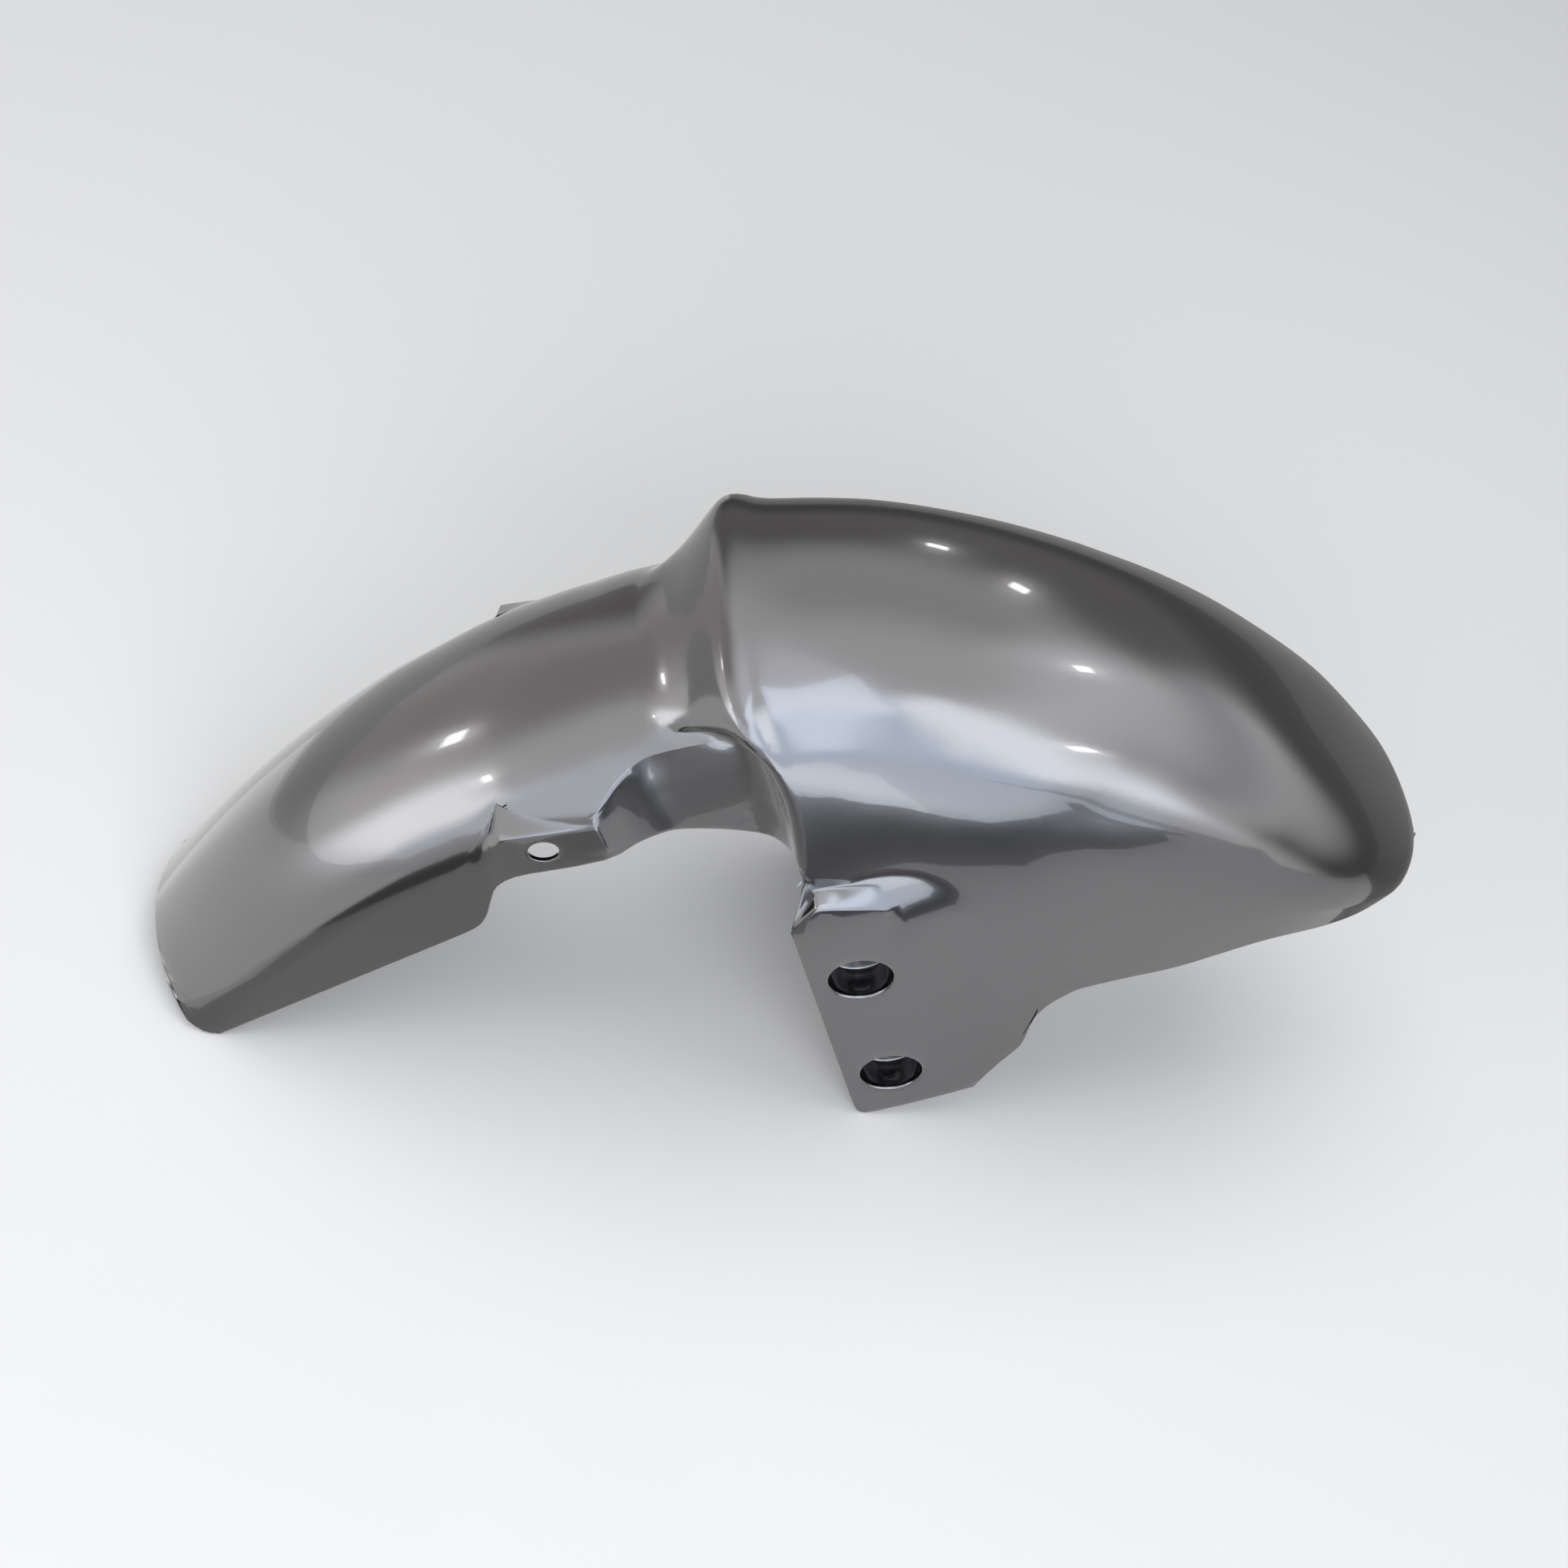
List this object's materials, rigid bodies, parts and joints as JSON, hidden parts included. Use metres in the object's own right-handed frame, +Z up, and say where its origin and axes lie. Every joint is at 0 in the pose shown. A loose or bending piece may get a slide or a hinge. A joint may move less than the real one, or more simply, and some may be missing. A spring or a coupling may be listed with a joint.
{
  "type": "motorcycle front mudguard",
  "caption": "One-piece front mudguard: wide domed front over the wheel, step down to a narrow tail, hollows for the fork legs, side tabs with sunk bolt holes, flat rear pads.",
  "frame": {"origin": "middle of the footprint, on the ground under the part", "axes": "+X to the nose, +Y across to the part's left, +Z up; the part stands on the corners of its side tabs and of its tail, within about a degree of its place on the fork"},
  "size_m": [0.6164, 0.176, 0.3057],
  "materials": {
    "shell": "dark grey metallic lacquer under a clear coat"
  },
  "bodies": {
    "root": {"mudguard": "shell"}
  },
  "joints": []
}
